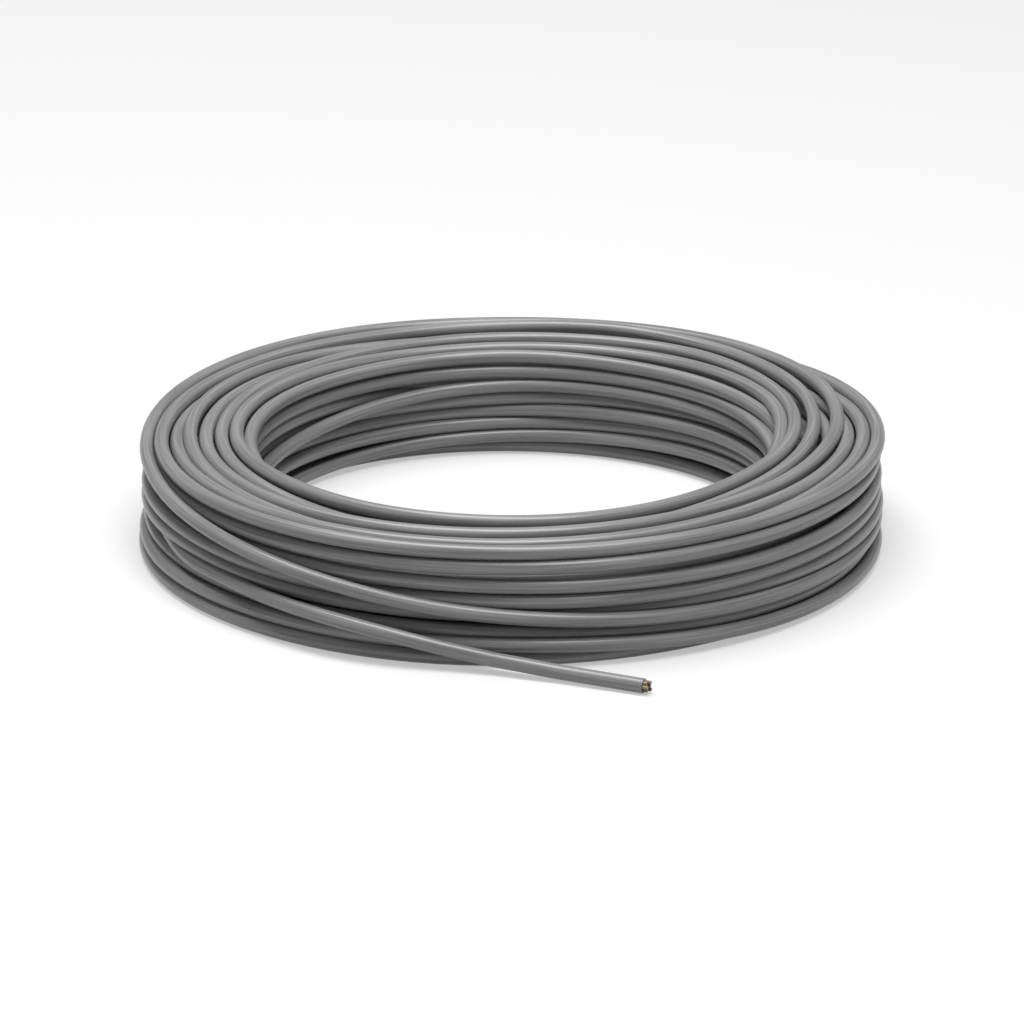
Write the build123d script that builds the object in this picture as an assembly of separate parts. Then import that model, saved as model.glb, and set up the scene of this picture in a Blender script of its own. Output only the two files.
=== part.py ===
"""A loose coil of round grey telephone cable that lies flat, with one cut end out at the front.

The cable holds six thin insulated cores round an open middle, inside a grey sheath. Its turns lie
side by side and on each other in a round ring with an open eye. One end leaves the outer turns at
the left of the front, slips down the outside of the ring to the floor, and runs out a short way.
"""

from build123d import *
import math
import os

# The cable, in millimetres
conductor_od = 0.5  # bare copper of one core
insulation_wall = 0.22  # coloured plastic round each conductor
core_gap = 0.02  # room between neighbouring cores, and from the cores to the sheath
sheath_wall = 0.45
core_colours = ["brown", "light_brown", "tan", "ochre", "olive", "dark_olive"]

# The ring of turns, its axis on Z and its underside at Z = 0
eye_d = 131.4  # clear way through the middle
lanes = 8  # turns side by side
layers = 8  # turns one above another
lane_nest = 0.2  # how far a turn sinks into the groove beside its neighbour
layer_nest = 0.1  # how far a layer sinks into the one below
slump = 0.7  # how far the lowest outer turns have crept outwards
side_slope = math.radians(28)  # each turn's round is drawn as two slanting sides

# The cut end
bore_depth = 8.0  # length of the cores' straight seat inside the sheath
core_stick_out = [1.9, 2.2, 1.6, 2.0, 1.7, 2.3]  # how far each core stands out of the sheath

# What follows from them
core_od = conductor_od + 2 * insulation_wall
core_lay_r = (core_od + core_gap) / (2 * math.sin(math.pi / len(core_colours)))
bore_r = core_lay_r + core_od / 2 + core_gap
sheath_r = bore_r + sheath_wall
lane_pitch = 2 * sheath_r - lane_nest
layer_pitch = 2 * sheath_r - layer_nest
inner_turn_r = eye_d / 2 + sheath_r
outer_turn_r = inner_turn_r + (lanes - 1) * lane_pitch
top_turn_z = sheath_r + (layers - 1) * layer_pitch

# The free stretch: where the cable's middle line would turn its corners, each as its angle round the
# ring, how far outside the middle of the outer turns, and its height. It starts inside the outer
# turns, leans on the outside of the ring, comes down and lies on the floor.
free_end_corners = [
    (217.4, 0.3, 10.6),
    (233.6, 3.2, 10.2),
    (250.0, 5.7, 8.8),
    (269.5, 4.7, sheath_r),
    (285.2, 22.3, sheath_r),
]


def groove(turn, neighbour, outward):
    """Bottom of the groove between two turns, where their slanting sides meet."""
    height = sheath_r - math.dist(turn, neighbour) / 2 * math.tan(side_slope)
    middle = ((turn[0] + neighbour[0]) / 2, (turn[1] + neighbour[1]) / 2)
    return (middle[0] + height * outward[0], middle[1] + height * outward[1])


def on_turn(turn, angle):
    """The point of a turn's round at an angle in degrees, 0 pointing away from the ring's axis."""
    across, up = math.cos(math.radians(angle)), math.sin(math.radians(angle))
    return (turn[0] + sheath_r * across, turn[1] + sheath_r * up)


def outer_wall_turn(layer):
    """Centre of the outermost turn of a layer, the lowest crept furthest out."""
    creep = slump * (1 - layer / (layers - 1))
    return (outer_turn_r + creep, sheath_r + layer * layer_pitch)


def ring_outline():
    """Section of the ring, round its outside turns: up the outer wall, over the top, down the eye."""
    outer = [outer_wall_turn(layer) for layer in range(layers)]
    top = [(inner_turn_r + lane * lane_pitch, top_turn_z) for lane in reversed(range(1, lanes - 1))]
    inner = [(inner_turn_r, sheath_r + layer * layer_pitch) for layer in reversed(range(layers))]
    outline = [on_turn(outer[0], angle) for angle in (-90, -45)]
    for turn, above in zip(outer, outer[1:]):
        outline += [on_turn(turn, 0), groove(turn, above, (1, 0))]
    outline += [on_turn(outer[-1], angle) for angle in (0, 45, 90)]
    outline.append(groove(outer[-1], top[0], (0, 1)))
    for turn, beside in zip(top, top[1:] + inner[:1]):
        outline += [on_turn(turn, 90), groove(turn, beside, (0, 1))]
    outline += [on_turn(inner[0], angle) for angle in (90, 135)]
    for turn, below in zip(inner, inner[1:]):
        outline += [on_turn(turn, 180), groove(turn, below, (-1, 0))]
    outline += [on_turn(inner[-1], angle) for angle in (180, 225, 270)]
    return outline


def ring_of_turns():
    """All the wound turns as one body, ridged where the outside turns show."""
    corners = [(r, 0, z) for r, z in ring_outline()]
    return revolve(make_face(Polyline(*corners, close=True)), axis=Axis.Z)


def free_end_route():
    """The free stretch's corners as points."""
    points = []
    for angle, outside, height in free_end_corners:
        away = math.radians(angle)
        reach = outer_turn_r + outside
        points.append((reach * math.cos(away), reach * math.sin(away), height))
    return points


def corner_radii(route):
    """The largest round that the two runs beside each corner leave room for."""
    radii = []
    for before, at, after in zip(route, route[1:], route[2:]):
        run_in = Vector(*at) - Vector(*before)
        run_out = Vector(*after) - Vector(*at)
        half_turn = math.radians(run_in.get_angle(run_out)) / 2
        radii.append(0.45 * min(run_in.length, run_out.length) / math.tan(half_turn))
    return radii


def free_end_path():
    """Straight runs joined by the rounds at their corners."""
    route = free_end_route()
    return FilletPolyline(*route, radius=corner_radii(route))


def rod_along(path, radius):
    """A round rod that follows a path."""
    section = Plane(origin=path @ 0, z_dir=path % 0) * Circle(radius)
    return sweep(section, path=path)


def cut_end_plane():
    """At the sheath's cut end, facing out of it, with its X across the cable and level."""
    before, end = [Vector(*point) for point in free_end_route()[-2:]]
    outward = (end - before).normalized()
    return Plane(origin=end, x_dir=Vector(0, 0, 1).cross(outward), z_dir=outward)


def sheath_free_end(rod):
    """The sheath of the free stretch, with the cores' seat bored into its cut end."""
    seat = cut_end_plane() * Cylinder(bore_r, bore_depth, align=(Align.CENTER, Align.CENTER, Align.MAX))
    return rod - seat


def core(number):
    """Insulation and conductor of one core, straight through its seat and out of the cut end."""
    place = cut_end_plane() * PolarLocations(core_lay_r, len(core_colours)).locations[number]
    length = bore_depth + core_stick_out[number]
    seated = Location((0, 0, -bore_depth))
    upward = (Align.CENTER, Align.CENTER, Align.MIN)
    conductor = place * seated * Cylinder(conductor_od / 2, length, align=upward)
    insulation = place * seated * Cylinder(core_od / 2, length, align=upward) - conductor
    return insulation, conductor


def build():
    """Every piece of the part by its name."""
    rod = rod_along(free_end_path(), sheath_r)
    pieces = {
        "sheath_coil": ring_of_turns() - rod,
        "sheath_free_end": sheath_free_end(rod),
    }
    for number, colour in enumerate(core_colours):
        insulation, conductor = core(number)
        pieces["insulation_" + colour] = insulation
        pieces["conductor_" + colour] = conductor
    return pieces


os.makedirs("parts", exist_ok=True)
for name, piece in build().items():
    export_step(piece, "parts/" + name + ".step")

path_length = free_end_path().length
rod_volume = rod_along(free_end_path(), sheath_r).volume
print("corner radii", [round(radius, 1) for radius in corner_radii(free_end_route())])
print("free stretch", round(path_length, 1), "long")
print("its volume over section times length", round(rod_volume / (math.pi * sheath_r**2 * path_length), 4))
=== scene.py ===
import math
import random

import bpy
import numpy as np
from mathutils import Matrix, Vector


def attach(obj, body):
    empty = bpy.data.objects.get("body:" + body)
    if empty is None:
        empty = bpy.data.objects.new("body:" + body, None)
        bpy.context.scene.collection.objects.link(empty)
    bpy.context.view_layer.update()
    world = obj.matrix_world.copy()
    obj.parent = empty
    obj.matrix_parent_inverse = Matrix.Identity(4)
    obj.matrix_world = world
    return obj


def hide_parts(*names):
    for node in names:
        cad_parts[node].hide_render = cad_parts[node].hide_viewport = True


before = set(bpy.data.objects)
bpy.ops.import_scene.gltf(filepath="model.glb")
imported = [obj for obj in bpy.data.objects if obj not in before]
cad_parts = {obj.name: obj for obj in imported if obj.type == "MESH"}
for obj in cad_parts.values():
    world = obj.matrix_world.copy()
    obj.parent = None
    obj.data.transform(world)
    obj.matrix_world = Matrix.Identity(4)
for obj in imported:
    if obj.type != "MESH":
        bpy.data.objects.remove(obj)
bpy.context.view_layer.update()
mm = 0.001

# The camera stands in front of the coil and looks down on it at a low angle from some distance,
# so that the ring shows as a flat ellipse with its turns in front and the inside of its far wall.
camera_data = bpy.data.cameras.new("camera")
camera_data.lens = 180.35
camera_data.sensor_width = 36
camera = bpy.data.objects.new("camera", camera_data)
camera.location = (0, -1234.6 * mm, 435.3 * mm)
camera.rotation_euler = (math.radians(70.843), 0, math.radians(0.011))
bpy.context.scene.collection.objects.link(camera)
bpy.context.scene.camera = camera
bpy.context.scene.view_settings.view_transform = "Standard"


# Telephone cable: a drawn sheath of soft grey PVC round six thin cores. One length of it is wound
# by hand into a loose coil, so its turns lie side by side and on each other and stray a little.
cable_d = 3.6 * mm
stations = 36  # points in each turn
first_angle = 90  # where each turn starts, in degrees
floor_z = 1.9  # height of the cable's middle where it lies on the floor, in millimetres
draw = random.Random(11)

# Where the middle of the cable runs in each turn, in millimetres, as angle round the ring, distance
# from its axis, height. A turn starts and ends at the back, at 90 and 450 degrees, and the front is
# at 270. The turns come in the order in which the cable runs through them, first along the floor.
lay = []
for number in range(5):
    lay.append([(120, 89.4 - 3.6 * number, floor_z), (250, 89.4 - 3.7 * number, floor_z),
                (315, 85.7 - 4.5 * number, floor_z), (402, 85.5 - 4.5 * number, floor_z)])

# Up the wall of the eye, each turn a row higher, with one that strays behind the others
lay.append([(90, 67.3, 2.0), (117, 69.0, 1.9), (140, 71.2, 1.9), (225, 71.2, 1.9), (315, 67.2, 6.8),
            (360, 66.9, 7.9), (402, 66.9, 7.4), (417, 66.9, 6.4)])
lay.append([(90, 67.0, 5.3), (105, 67.0, 4.5), (117, 67.0, 3.8), (147, 67.2, 2.1), (225, 67.4, 1.9),
            (315, 68.0, 9.8), (360, 68.0, 11.0), (402, 68.0, 10.6), (417, 67.4, 9.6)])
lay.append([(90, 67.0, 8.4), (117, 67.2, 8.6), (147, 67.3, 8.4), (225, 67.3, 7.2), (300, 71.0, 10.8),
            (360, 71.2, 11.8), (415, 71.2, 13.2)])
lay.append([(90, 71.0, 15.4), (115, 68.7, 18.7), (130, 67.0, 19.5), (150, 67.5, 19.4),
            (180, 68.6, 18.8), (225, 67.2, 16.8), (315, 67.0, 12.8), (360, 66.9, 14.2),
            (402, 66.9, 13.7), (417, 66.9, 12.9)])
lay.append([(90, 66.9, 12.0), (105, 68.2, 11.4), (117, 68.4, 11.3), (130, 68.0, 11.1),
            (147, 68.6, 11.3), (180, 69.2, 11.6), (225, 68.0, 11.0), (315, 68.6, 15.8),
            (360, 68.6, 17.0), (402, 68.6, 16.6), (417, 67.6, 15.9)])
lay.append([(90, 67.0, 15.5), (105, 66.9, 14.5), (117, 67.2, 14.1), (130, 69.0, 14.2),
            (180, 69.4, 15.2), (225, 70.0, 14.6), (250, 70.4, 15.6), (280, 69.4, 17.0),
            (315, 67.0, 18.6), (360, 66.9, 19.8), (402, 66.9, 19.3), (417, 66.9, 18.5)])
lay.append([(90, 67.0, 19.3), (105, 66.4, 18.5), (117, 66.0, 17.9), (130, 65.6, 15.9),
            (147, 65.6, 13.8), (165, 65.6, 12.3), (200, 66.0, 12.4), (225, 66.4, 13.0),
            (250, 66.4, 15.4), (315, 66.8, 21.8), (360, 66.9, 22.6), (402, 66.9, 22.6),
            (417, 66.9, 21.8)])
lay.append([(90, 67.0, 23.2), (117, 67.0, 22.9), (130, 67.0, 22.7), (180, 67.4, 22.4),
            (225, 67.4, 21.4), (270, 69.6, 20.6), (315, 70.4, 22.2), (345, 70.4, 23.2),
            (360, 69.6, 24.3), (375, 67.2, 25.2), (402, 66.9, 26.1), (417, 66.9, 25.4),
            (435, 67.0, 26.2)])

# Over the top. Here the turns slip over and under their neighbours: they are nearer to the eye on
# the left and in front, and nearer to the rim at the right and behind.
lay.append([(90, 67.1, 27.1), (105, 66.9, 26.5), (120, 66.7, 26.1), (135, 66.5, 26.0),
            (150, 66.4, 26.3), (165, 66.3, 26.7), (180, 66.3, 27.0), (195, 66.5, 26.2),
            (210, 67.6, 24.4), (240, 69.6, 23.9), (300, 69.0, 24.2), (330, 66.9, 24.3),
            (345, 65.9, 25.5), (352, 66.0, 26.8), (360, 66.8, 27.7), (370, 69.0, 27.9),
            (380, 71.0, 27.9), (390, 72.7, 27.9), (402, 73.6, 27.9), (420, 72.3, 27.9)])
lay.append([(90, 71.9, 27.8), (105, 71.3, 27.6), (120, 71.0, 27.4), (135, 71.4, 27.9),
            (150, 71.0, 28.0), (165, 70.6, 27.9), (180, 69.9, 27.7), (190, 69.8, 27.6),
            (200, 68.9, 27.5), (210, 68.1, 27.5), (240, 69.2, 27.6), (285, 69.6, 27.7),
            (300, 69.0, 27.7), (310, 68.0, 27.7), (330, 67.1, 27.9), (340, 67.7, 27.9),
            (350, 68.8, 27.9), (360, 70.6, 27.8), (370, 72.7, 27.8), (380, 74.8, 27.8),
            (390, 76.9, 27.8), (400, 79.2, 27.8), (412, 81.2, 27.8), (420, 81.4, 27.8),
            (435, 79.8, 27.9)])
lay.append([(90, 77.8, 28.0), (105, 76.7, 28.0), (120, 75.6, 28.0), (150, 74.5, 28.0),
            (180, 73.7, 27.7), (190, 73.2, 27.2), (210, 72.2, 27.0), (220, 72.4, 26.6),
            (235, 73.6, 25.6), (250, 74.0, 24.5), (270, 74.0, 24.2), (290, 73.5, 25.0),
            (300, 73.2, 26.2), (310, 72.6, 27.4), (320, 72.0, 27.8), (340, 72.1, 27.8),
            (350, 72.9, 27.8), (360, 74.7, 27.8), (370, 77.1, 27.8), (380, 80.4, 28.0),
            (390, 83.5, 28.0), (400, 86.4, 28.1), (410, 88.3, 28.2), (420, 88.7, 28.2),
            (435, 88.3, 28.0)])
lay.append([(90, 88.0, 27.8), (120, 88.6, 27.8), (135, 88.5, 27.7), (150, 88.0, 27.6),
            (180, 88.3, 27.9), (200, 89.3, 27.9), (210, 90.2, 27.9), (220, 90.9, 27.9),
            (240, 91.7, 27.9), (270, 91.6, 28.0), (300, 90.8, 27.9), (315, 90.3, 27.9),
            (330, 90.6, 27.9), (345, 91.0, 27.9), (360, 92.3, 27.9), (375, 93.3, 27.9),
            (390, 94.2, 27.8), (400, 94.5, 27.3), (410, 94.0, 26.0), (420, 92.4, 24.6),
            (435, 88.6, 24.0)])
lay.append([(90, 84.8, 24.6), (105, 83.6, 25.4), (120, 83.8, 26.6), (135, 84.5, 27.7),
            (150, 84.2, 28.0), (165, 82.6, 28.0), (180, 80.9, 28.0), (190, 80.7, 27.9),
            (210, 81.6, 27.5), (225, 82.0, 26.8), (240, 82.4, 25.4), (255, 82.0, 24.4),
            (300, 80.0, 24.2), (330, 79.4, 24.4), (345, 78.4, 25.2), (355, 78.6, 26.0),
            (362, 79.4, 26.2), (370, 81.0, 26.1), (380, 82.7, 25.4), (390, 83.1, 24.6),
            (400, 81.2, 24.4), (410, 77.4, 25.6), (420, 77.1, 26.8), (432, 76.2, 26.6)])
lay.append([(90, 75.2, 25.2), (105, 77.2, 24.9), (120, 79.2, 25.7), (135, 79.4, 27.1),
            (150, 78.0, 27.7), (165, 77.4, 27.8), (180, 77.3, 27.8), (200, 77.7, 27.8),
            (210, 78.2, 27.8), (220, 78.8, 27.8), (230, 79.2, 27.8), (250, 79.3, 27.8),
            (260, 78.4, 27.8), (270, 77.5, 27.8), (300, 76.4, 27.8), (330, 76.6, 27.8),
            (340, 77.0, 27.9), (350, 78.6, 28.0), (360, 81.1, 28.0), (370, 83.6, 28.0),
            (380, 87.8, 28.2), (390, 90.4, 28.5), (400, 91.6, 28.8), (420, 93.0, 28.9),
            (435, 92.4, 28.2)])

# From the rim down the outside to the floor: the turn that crosses the left of the front, and three
# below it. Then come those inside that nobody sees, which fill the ring in rows from rim to eye.
lay.append([(90, 91.7, 27.9), (105, 92.5, 28.3), (120, 93.4, 28.8), (135, 93.6, 28.7),
            (150, 93.2, 28.3), (165, 92.7, 27.7), (180, 92.3, 26.8), (190, 92.3, 25.8),
            (201, 92.6, 24.2), (215, 93.2, 22.4), (233, 93.9, 19.3), (250, 94.1, 15.8),
            (262, 94.0, 13.2), (270, 93.9, 12.0), (280, 93.8, 10.7), (299, 93.4, 9.2), (315, 92.9, 8.8),
            (330, 92.3, 8.7), (345, 91.8, 8.7), (360, 91.7, 8.7), (410, 92.0, 9.4)])
lay.append([(90, 92.5, 9.4), (150, 92.3, 9.0), (200, 92.2, 8.8), (218, 91.8, 8.8), (240, 91.0, 8.5),
            (270, 90.6, 7.8), (285, 90.8, 6.8), (299, 91.6, 5.7), (330, 91.2, 5.5), (345, 89.8, 5.6),
            (360, 89.6, 5.6), (410, 92.4, 5.7)])
lay.append([(90, 92.2, 5.7), (130, 92.6, 5.8), (200, 92.4, 5.6), (215, 92.9, 5.5), (255, 93.3, 5.1),
            (280, 93.6, 4.7), (299, 94.0, 2.9), (315, 94.2, 2.3), (330, 93.4, 2.2), (345, 91.0, 2.4),
            (360, 89.8, 2.6), (390, 91.4, 2.4), (410, 93.0, 2.2)])
lay.append([(90, 93.0, 1.9), (180, 93.0, 1.9), (205, 93.7, 1.9), (245, 94.3, 1.9), (270, 93.6, 1.9),
            (285, 92.4, 1.9), (299, 90.4, 1.9), (330, 89.8, 1.9), (402, 89.4, 1.9)])
first_filling = len(lay)
filling_turns = 20
columns = 5
for number in range(filling_turns):
    row = number // columns
    column = number % columns if row % 2 == 0 else columns - 1 - number % columns
    spot = (87.0 - 3.5 * column, 5.9 + 4.7 * row + 1.0 * (column % 2))
    lay.append([(130, *spot), (402, *spot)])

# Up to the top once more, where it shows only at the right, and down the outside in four rows. The
# last turn ends in the free end.
lay.append([(130, 84.0, 22.4), (240, 84.6, 22.8), (270, 85.4, 23.4), (300, 86.4, 25.2),
            (330, 86.5, 27.3), (345, 87.0, 27.7), (360, 88.6, 27.8), (370, 90.0, 27.4),
            (380, 90.7, 26.3), (390, 90.4, 24.8), (420, 88.4, 24.3)])
lay.append([(90, 88.2, 24.0), (120, 87.6, 24.0), (150, 87.0, 24.1), (165, 85.8, 25.0),
            (180, 84.4, 26.7), (190, 84.7, 27.3), (200, 85.3, 27.6), (210, 86.0, 27.7),
            (230, 86.4, 27.8), (250, 86.2, 27.8), (270, 85.8, 27.8), (290, 85.1, 27.8),
            (300, 84.5, 27.8), (310, 83.6, 27.8), (320, 82.6, 27.8), (340, 82.7, 27.8),
            (350, 83.4, 27.7), (360, 84.8, 27.3), (370, 85.8, 26.9), (380, 86.5, 25.4),
            (390, 86.4, 24.5), (420, 84.9, 23.6)])
lay.append([(90, 84.8, 21.0), (120, 87.6, 21.4), (150, 90.2, 24.2), (165, 90.2, 24.0),
            (180, 89.7, 23.4), (190, 88.9, 23.2), (200, 88.6, 23.2), (230, 90.6, 23.9),
            (250, 91.8, 24.2), (270, 92.2, 24.5), (299, 92.6, 24.6), (315, 92.4, 24.5),
            (330, 91.9, 24.4), (345, 91.3, 24.2), (360, 91.2, 24.0), (375, 91.8, 23.2),
            (390, 92.5, 21.7), (405, 92.7, 20.9)])
lay.append([(90, 92.2, 20.4), (130, 89.6, 20.0), (215, 89.6, 19.8), (240, 90.7, 19.9),
            (255, 91.6, 19.9), (270, 92.4, 19.9), (285, 92.9, 19.4), (299, 92.9, 18.9),
            (315, 92.8, 18.9), (330, 92.3, 18.9), (345, 91.4, 19.2), (360, 91.2, 19.2),
            (390, 92.0, 18.0), (410, 92.6, 17.4)])
lay.append([(90, 92.8, 17.1), (150, 92.6, 17.1), (180, 92.2, 17.2), (205, 92.4, 17.0),
            (214, 92.4, 16.6), (232, 91.4, 15.0), (250, 90.7, 15.0), (262, 91.8, 15.6),
            (270, 92.6, 15.9), (285, 93.0, 15.6), (299, 93.0, 15.2), (330, 92.2, 15.3),
            (345, 91.8, 15.6), (360, 91.8, 15.6), (410, 92.6, 14.2)])
lay.append([(130, 92.6, 13.6), (180, 92.1, 13.6), (205, 92.1, 13.5), (214, 92.2, 13.3),
            (237, 91.2, 12.5), (255, 90.2, 12.0), (270, 89.6, 11.8), (283, 89.9, 12.0),
            (299, 91.6, 12.2), (315, 92.0, 12.0), (345, 92.4, 12.1), (360, 92.6, 12.0),
            (410, 91.2, 11.8)])
lay.append([(130, 89.2, 11.8), (195, 90.0, 11.8), (206, 91.4, 11.3)])

# The free end leaves the turns at the left of the front, slips down their outside and lies on the
# floor. These are the same points as the solid tube's corners, with the cut end a little further on.
free_end_route = [(-74.0, -56.5, 10.6), (-57.0, -77.3, 10.2), (-33.7, -92.6, 8.8), (-0.9, -97.5, 1.9),
                  (30.75, -111.34, 1.9)]

# Each turn gets a place at every station round the ring. Then the turns are settled: each is drawn
# to its place and held smooth along its length, and wherever two touch they push each other apart.
winding = []
radii = []
heights = []
for number, turn in enumerate(lay):
    for angle, radius, height in turn:
        winding.append(360 * number + angle)
        radii.append(radius)
        heights.append(height)
step = 360 / stations
last_turn = len(lay) - 1
free_start = 360 * last_turn + math.degrees(math.atan2(free_end_route[0][1], free_end_route[0][0])) % 360
for x, y, height in free_end_route[:4]:
    winding.append(360 * last_turn + math.degrees(math.atan2(y, x)) % 360)
    radii.append(math.hypot(x, y))
    heights.append(height)
samples = np.arange(first_angle + 30, 360 * last_turn + 270, step)
goal = np.stack([np.interp(samples, winding, radii), np.interp(samples, winding, heights)], 1)
turn_of = ((samples - first_angle) // 360).astype(int)
station_of = np.rint((samples - first_angle) % 360 / step).astype(int) % stations
free = samples < free_start - 0.6 * step
filling = (turn_of >= first_filling) & (turn_of < first_filling + filling_turns)

# A hand never lays two turns alike, so the cable strays a little from its way: by some 0.7 mm every
# 75 degrees inside the ring, and by a quarter of that where it shows.
for axis in range(2):
    knots = np.arange(samples[0], samples[-1] + 120, 75)
    stray = np.interp(samples, knots, [draw.gauss(0, 0.7) for knot in knots])
    goal[:, axis] += np.where(free, np.where(filling, stray, 0.25 * stray), 0)

# The turns inside the ring give way easily, and those that show keep to their places. Late in the
# settling the pull toward these places weakens, so that turns which touch can come apart.
grid = np.full((len(lay), stations, 2), np.nan)
position = goal.copy()
held = ~free
ease = np.full(len(lay), 0.05)
ease[first_filling : first_filling + filling_turns] = 1.0
share = ease[:, None] / (ease[:, None] + ease[None, :])
pull = np.where(filling, 0.03, 0.26)[:, None]
evenness = np.where(filling, 0.5, 0.25)[:, None]
rounds = 420
late_round = 0.7 * rounds
touch_passes = 3
press = 0.03  # how far soft turns press into each other, in millimetres
for settle in range(rounds):
    position += (pull if settle < late_round else pull / 4) * (goal - position)
    bend = np.zeros_like(position)
    bend[1:-1] = (position[:-2] + position[2:]) / 2 - position[1:-1]
    position += evenness * bend
    position[held] = goal[held]
    for touch in range(touch_passes):
        grid[:] = np.nan
        grid[turn_of, station_of] = position
        apart = grid[:, None] - grid[None, :]
        distance = np.sqrt((apart**2).sum(-1))
        overlap = np.nan_to_num(cable_d / mm - press - distance, nan=0)
        overlap = np.where(overlap > 0, overlap, 0)
        for number in range(len(lay)):
            overlap[number, number] = 0
        push = apart / np.maximum(distance, 0.01)[..., None] * (share[..., None] * overlap)[..., None]
        moved = np.nan_to_num(push, nan=0).sum(1) * 0.8
        position[free] += moved[turn_of, station_of][free]
        position[:, 1] = np.maximum(position[:, 1], floor_z)
print("settled turns", len(lay), "deepest overlap mm", round(float(overlap.max()), 3))

# The middle line of the whole cable is one smooth spline through its points.
# They stand a little outwards of its way, because the spline cuts their corners.
outward = 1 / math.cos(math.radians(step / 2))
line_points = []
for angle, (radius, height), loose in zip(samples, position, free):
    if loose:
        turn_angle = math.radians(angle)
        reach = radius * outward
        line_points.append((reach * math.cos(turn_angle), reach * math.sin(turn_angle), height))
line_points += free_end_route
line_data = bpy.data.curves.new("cable_line", "CURVE")
line_data.dimensions = "3D"
spline = line_data.splines.new("NURBS")
spline.points.add(len(line_points) - 1)
for point, place in zip(spline.points, line_points):
    point.co = (place[0] * mm, place[1] * mm, place[2] * mm, 1)
spline.order_u = 3
spline.use_endpoint_u = True
spline.resolution_u = 3
line = bpy.data.objects.new("cable_line", line_data)
bpy.context.scene.collection.objects.link(line)
bpy.context.view_layer.update()
line_mesh = bpy.data.meshes.new_from_object(line)
path = [vertex.co.copy() for vertex in line_mesh.vertices]
bpy.data.objects.remove(line)


def linear(hex_colour):
    """An sRGB hex colour as linear values with full opacity."""
    channels = [int(hex_colour[place : place + 2], 16) / 255 for place in (1, 3, 5)]
    return [c / 12.92 if c <= 0.04045 else ((c + 0.055) / 1.055) ** 2.4 for c in channels] + [1]


def add_node(tree, kind, links=(), **settings):
    """A node with its settings, and its inputs set to values or linked to other nodes' outputs."""
    node = tree.nodes.new(kind)
    for name, value in settings.items():
        setattr(node, name, value)
    for socket, value in links:
        if isinstance(value, bpy.types.NodeSocket):
            tree.links.new(value, node.inputs[socket])
        else:
            node.inputs[socket].default_value = value
    return node


# Soft PVC straight from the extruder: an even mid grey with a satin skin. It gives broad soft
# highlights, and faint streaks along its length where the die has drawn it.
# The real streaks are too fine to show here, so these are coarser.
streak_width = 0.625 * mm
streak_length = 33.333 * mm
sheath = bpy.data.materials.new("sheath_pvc_grey_extruded")
sheath.use_nodes = True
tree = sheath.node_tree
shader = tree.nodes["Principled BSDF"]
shader.inputs["IOR"].default_value = 1.54
coordinates = add_node(tree, "ShaderNodeTexCoord")
streaks_place = add_node(tree, "ShaderNodeMapping",
                         [("Vector", coordinates.outputs["UV"]),
                          ("Scale", (1 / streak_width, 1 / streak_length, 1))])
streaks = add_node(tree, "ShaderNodeTexNoise",
                   [("Vector", streaks_place.outputs["Vector"]), ("Scale", 1.0), ("Detail", 3.0)])
shade = add_node(tree, "ShaderNodeValToRGB", [("Fac", streaks.outputs["Fac"])])
shade.color_ramp.elements[0].position = 0.35
shade.color_ramp.elements[0].color = linear("#7c7c7d")
shade.color_ramp.elements[1].position = 0.65
shade.color_ramp.elements[1].color = linear("#9a9a9b")
tree.links.new(shade.outputs["Color"], shader.inputs["Base Color"])
gloss = add_node(tree, "ShaderNodeMapRange",
                 [("Value", streaks.outputs["Fac"]), ("To Min", 0.26), ("To Max", 0.38)])
tree.links.new(gloss.outputs["Result"], shader.inputs["Roughness"])

# The sheath is one long tube along the cable's middle line. At its free end it is cut square, so
# that its wall shows round the hollow in which the cores lie.
sides = 16
sheath_wall = 0.35 * mm
bore_depth = 8.0 * mm
radius = cable_d / 2
vertices = []
faces = []
along = 0
along_uv = []
for number, place in enumerate(path):
    ahead = path[min(number + 1, len(path) - 1)]
    behind = path[max(number - 1, 0)]
    run = (ahead - behind).normalized()
    side = run.cross(Vector((0, 0, 1))).normalized()
    up = side.cross(run)
    along += (place - behind).length
    for turn in range(sides):
        angle = 2 * math.pi * turn / sides
        vertices.append(place + radius * (math.cos(angle) * side + math.sin(angle) * up))
    along_uv.append(along)
for number in range(len(path) - 1):
    for turn in range(sides):
        a = number * sides + turn
        b = number * sides + (turn + 1) % sides
        faces.append((a, b, b + sides, a + sides))
faces.append(tuple(range(sides)))
end_run = (path[-1] - path[-2]).normalized()
end_side = end_run.cross(Vector((0, 0, 1))).normalized()
end_up = end_side.cross(end_run)
base = (len(path) - 1) * sides
for depth in (0, bore_depth):
    for turn in range(sides):
        angle = 2 * math.pi * turn / sides
        rim = (radius - sheath_wall) * (math.cos(angle) * end_side + math.sin(angle) * end_up)
        vertices.append(path[-1] - end_run * depth + rim)
for ring in range(2):
    for turn in range(sides):
        a = base + ring * sides + turn
        b = base + ring * sides + (turn + 1) % sides
        faces.append((a, b, b + sides, a + sides))
faces.append(tuple(base + 2 * sides + turn for turn in range(sides)))
wire_data = bpy.data.meshes.new("cable_sheath")
wire_data.from_pydata([tuple(v) for v in vertices], [], faces)
wire_uv = wire_data.uv_layers.new(name="along")
girth = 2 * math.pi * radius
for face in wire_data.polygons:
    # The last face of each ring closes it, and there the pattern goes on past the seam.
    for corner in face.loop_indices:
        vertex = wire_data.loops[corner].vertex_index
        ring = min(vertex // sides, len(path) - 1)
        turn = vertex % sides
        if turn == 0 and face.index % sides == sides - 1 and face.index < (len(path) - 1) * sides:
            turn = sides
        wire_uv.data[corner].uv = (girth * turn / sides, along_uv[ring])
wire_data.shade_smooth()
wire = bpy.data.objects.new("cable_sheath", wire_data)
bpy.context.scene.collection.objects.link(wire)
wire.data.materials.append(sheath)
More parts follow.
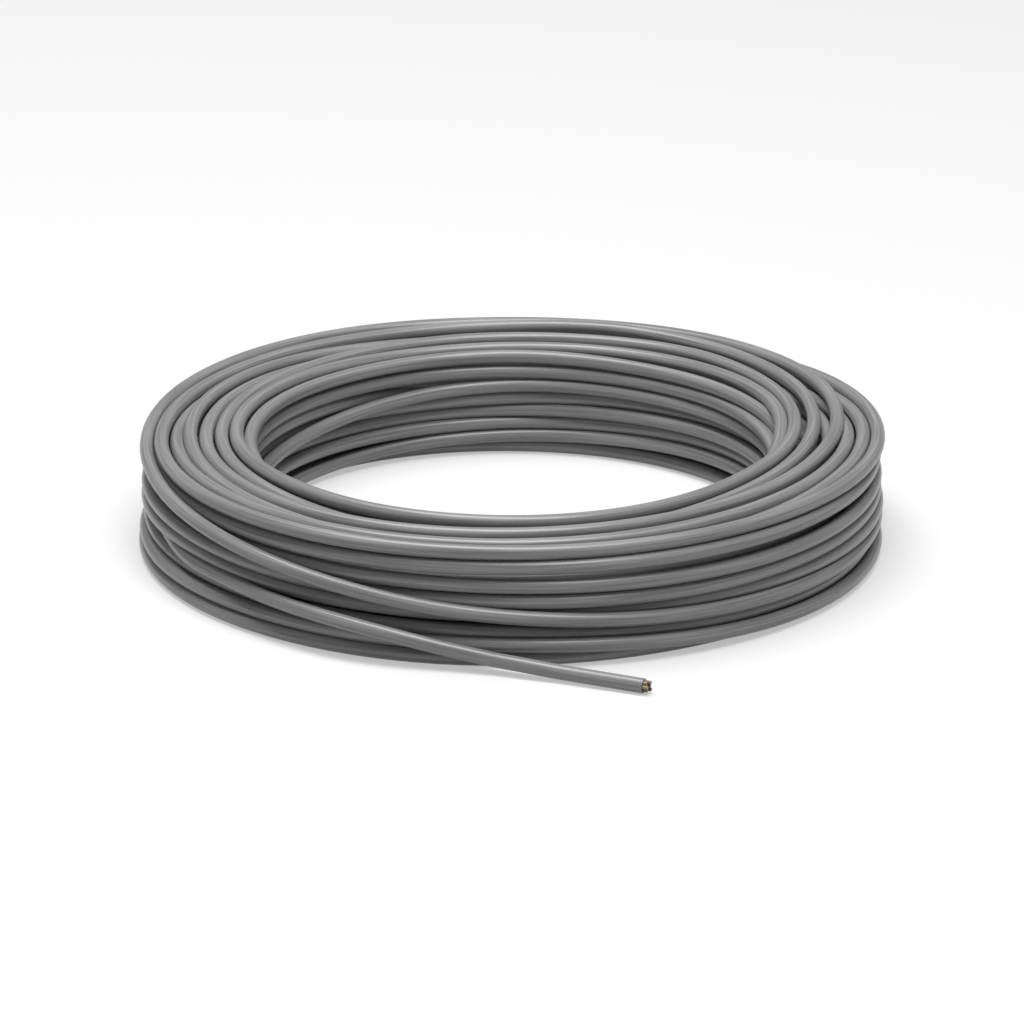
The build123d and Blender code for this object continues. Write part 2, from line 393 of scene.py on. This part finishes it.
bpy.ops.object.select_all(action="DESELECT")
bpy.context.view_layer.objects.active = wire
wire.select_set(True)
bpy.ops.object.mode_set(mode="EDIT")
bpy.ops.mesh.select_all(action="SELECT")
bpy.ops.mesh.normals_make_consistent(inside=False)
bpy.ops.object.mode_set(mode="OBJECT")
bpy.ops.object.shade_smooth_by_angle(angle=math.radians(40))
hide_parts("sheath_coil", "sheath_free_end")
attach(wire, "root")


# The cores are fine copper conductors, each in a thin coat of coloured PVC, laid together in the
# sheath and cut off with it. The coats are smooth and a little glossy, and the cut copper glints.
# Their six colours are partly the coats' own and partly painted shade: the darker ones, olive,
# dark olive and brown, hold painted shade from the lower side of the bundle and the gaps between cores.
# Coat colours from light tan to dark olive and brown; the darker ones include painted shade.
coat_and_shade_colours = {"brown": "#5e5046", "light_brown": "#8a7663", "tan": "#a08a70", "ochre": "#a08c66",
                      "olive": "#77734f", "dark_olive": "#55533c"}
for name, colour in coat_and_shade_colours.items():
    plastic = bpy.data.materials.new("core_pvc_and_shade_" + name)
    plastic.use_nodes = True
    shader = plastic.node_tree.nodes["Principled BSDF"]
    shader.inputs["Base Color"].default_value = linear(colour)
    shader.inputs["Roughness"].default_value = 0.4
    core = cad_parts["insulation_" + name]
    core.data.materials.clear()
    core.data.materials.append(plastic)
copper = bpy.data.materials.new("copper_cut_wire")
copper.use_nodes = True
shader = copper.node_tree.nodes["Principled BSDF"]
shader.inputs["Base Color"].default_value = linear("#b08a68")
shader.inputs["Metallic"].default_value = 1
shader.inputs["Roughness"].default_value = 0.35
for name in coat_and_shade_colours:
    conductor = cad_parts["conductor_" + name]
    conductor.data.materials.clear()
    conductor.data.materials.append(copper)


# The floor is a plain white sheet that runs out of view, and it keeps the coil's soft shadow. It is
# grey under the lamp, so that it throws little light back, and glows for what looks at it.
floor_glow = 0.44
bpy.ops.object.select_all(action="DESELECT")
bpy.ops.mesh.primitive_plane_add(size=12, location=(0, 0, 0))
floor = bpy.context.object
floor.name = "floor"
floor_paint = bpy.data.materials.new("white_paper")
floor_paint.use_nodes = True
tree = floor_paint.node_tree
shader = tree.nodes["Principled BSDF"]
shader.inputs["Base Color"].default_value = linear("#b4b4b4")
shader.inputs["Roughness"].default_value = 0.9
shader.inputs["Specular IOR Level"].default_value = 0.0
shader.inputs["Emission Color"].default_value = linear("#ffffff")
rays = add_node(tree, "ShaderNodeLightPath")
seen = add_node(tree, "ShaderNodeMath",
                [(0, rays.outputs["Is Camera Ray"]), (1, rays.outputs["Is Glossy Ray"])],
                operation="MAXIMUM")
seen = add_node(tree, "ShaderNodeMath",
                [(0, seen.outputs["Value"]), (1, rays.outputs["Is Transmission Ray"])],
                operation="MAXIMUM")
glow = add_node(tree, "ShaderNodeMath",
                [(0, seen.outputs["Value"]), (1, floor_glow)], operation="MULTIPLY")
tree.links.new(glow.outputs["Value"], shader.inputs["Emission Strength"])
floor.data.materials.append(floor_paint)

# A wide soft lamp hangs straight over the coil, and pale walls light it from all sides.
lamp_data = bpy.data.lights.new("overhead_softbox", "AREA")
lamp_data.shape = "RECTANGLE"
lamp_data.size = 1.4
lamp_data.size_y = 0.45
lamp_data.energy = 21
lamp = bpy.data.objects.new("overhead_softbox", lamp_data)
lamp.location = (-0.05, -0.05, 1.3)
lamp.rotation_euler = (Vector((0, 0, 0)) - lamp.location).to_track_quat("-Z", "Y").to_euler()
bpy.context.scene.collection.objects.link(lamp)
room_light = 0.24
world = bpy.data.worlds.new("pale_room")
bpy.context.scene.world = world
world.use_nodes = True
tree = world.node_tree
background = tree.nodes["Background"]
background.inputs["Color"].default_value = linear("#ffffff")
rays = add_node(tree, "ShaderNodeLightPath")
strength = add_node(tree, "ShaderNodeMapRange",
                    [("Value", rays.outputs["Is Camera Ray"]), ("To Min", room_light), ("To Max", 1.0)])
tree.links.new(strength.outputs["Result"], background.inputs["Strength"])
